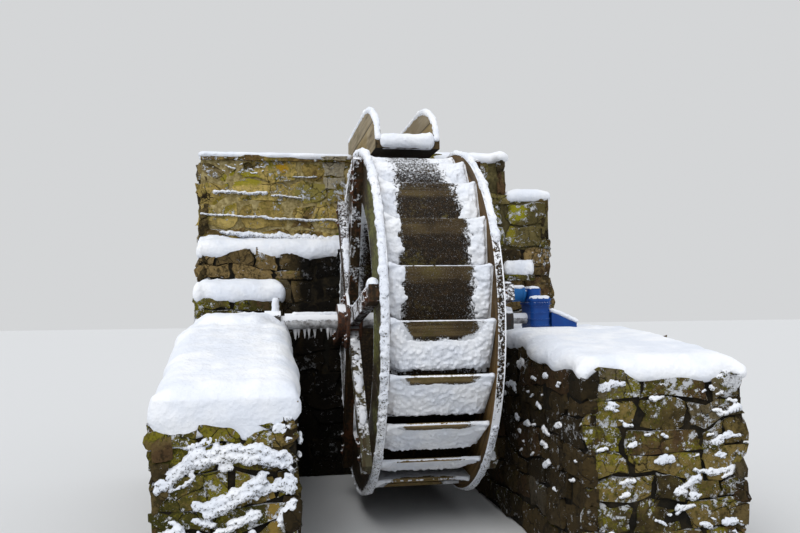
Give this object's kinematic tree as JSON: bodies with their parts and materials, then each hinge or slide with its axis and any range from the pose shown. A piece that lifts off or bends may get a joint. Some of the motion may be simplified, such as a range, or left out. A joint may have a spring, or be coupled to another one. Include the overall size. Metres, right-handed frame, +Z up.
{
  "type": "overshot water wheel in its stone wheel pit",
  "caption": "Overshot wooden water wheel with bucket boards between two rims, on a steel shaft in a stone pit, with a wooden trough above and a blue gear unit at one end.",
  "frame": {"origin": "on the ground at the middle of the masonry, straight under the wheel's shaft", "axes": "+X along the shaft to the gear unit, +Y upstream to the head wall, +Z up"},
  "size_m": [3.9, 4.2, 3.7389],
  "materials": {
    "sandstone": "rough squared rubble with moss",
    "coping_stone": "flat weathered slab",
    "snow": "settled snow",
    "trough_wood": "weathered grey boards",
    "batten_wood": "wet brown timber",
    "bearing_iron": "dark cast iron",
    "blue_paint": "blue machine paint",
    "light_blue_paint": "lighter blue machine paint",
    "shaft_steel": "turned steel, iced",
    "hub_iron": "rusty cast iron",
    "arm_wood": "wet dark timber",
    "rim_wood": "wet timber with green growth",
    "bucket_wood": "wet boards"
  },
  "bodies": {
    "pit": {"left_wall": "sandstone", "right_wall": "sandstone", "head_wall_base": "sandstone", "head_wall_left": "sandstone", "head_wall_middle": "sandstone", "head_wall_right": "sandstone", "coping": "coping_stone", "wall_snow": "snow", "trough_floor": "trough_wood", "trough_side_left": "trough_wood", "trough_side_right": "trough_wood", "trough_battens": "batten_wood", "bearing_left": "bearing_iron", "bearing_right": "bearing_iron", "drive_base": "blue_paint", "gearbox": "blue_paint", "generator": "light_blue_paint"},
    "wheel": {"shaft": "shaft_steel", "hub_left": "hub_iron", "hub_right": "hub_iron", "arms_left": "arm_wood", "arms_right": "arm_wood", "rim_left": "rim_wood", "rim_right": "rim_wood", "bucket_1": "bucket_wood", "bucket_2": "bucket_wood", "bucket_3": "bucket_wood", "bucket_4": "bucket_wood", "bucket_5": "bucket_wood", "bucket_6": "bucket_wood", "bucket_7": "bucket_wood", "bucket_8": "bucket_wood", "bucket_9": "bucket_wood", "bucket_10": "bucket_wood", "bucket_11": "bucket_wood", "bucket_12": "bucket_wood", "bucket_13": "bucket_wood", "bucket_14": "bucket_wood", "bucket_15": "bucket_wood", "bucket_16": "bucket_wood", "bucket_17": "bucket_wood", "bucket_18": "bucket_wood", "bucket_19": "bucket_wood", "bucket_20": "bucket_wood", "bucket_21": "bucket_wood", "bucket_22": "bucket_wood"}
  },
  "joints": [
    {"name": "wheel_turn", "type": "hinge", "parent": "pit", "child": "wheel", "pos_m": [0, 0, 1.7], "axis": [1, 0, 0], "continuous": true}
  ]
}
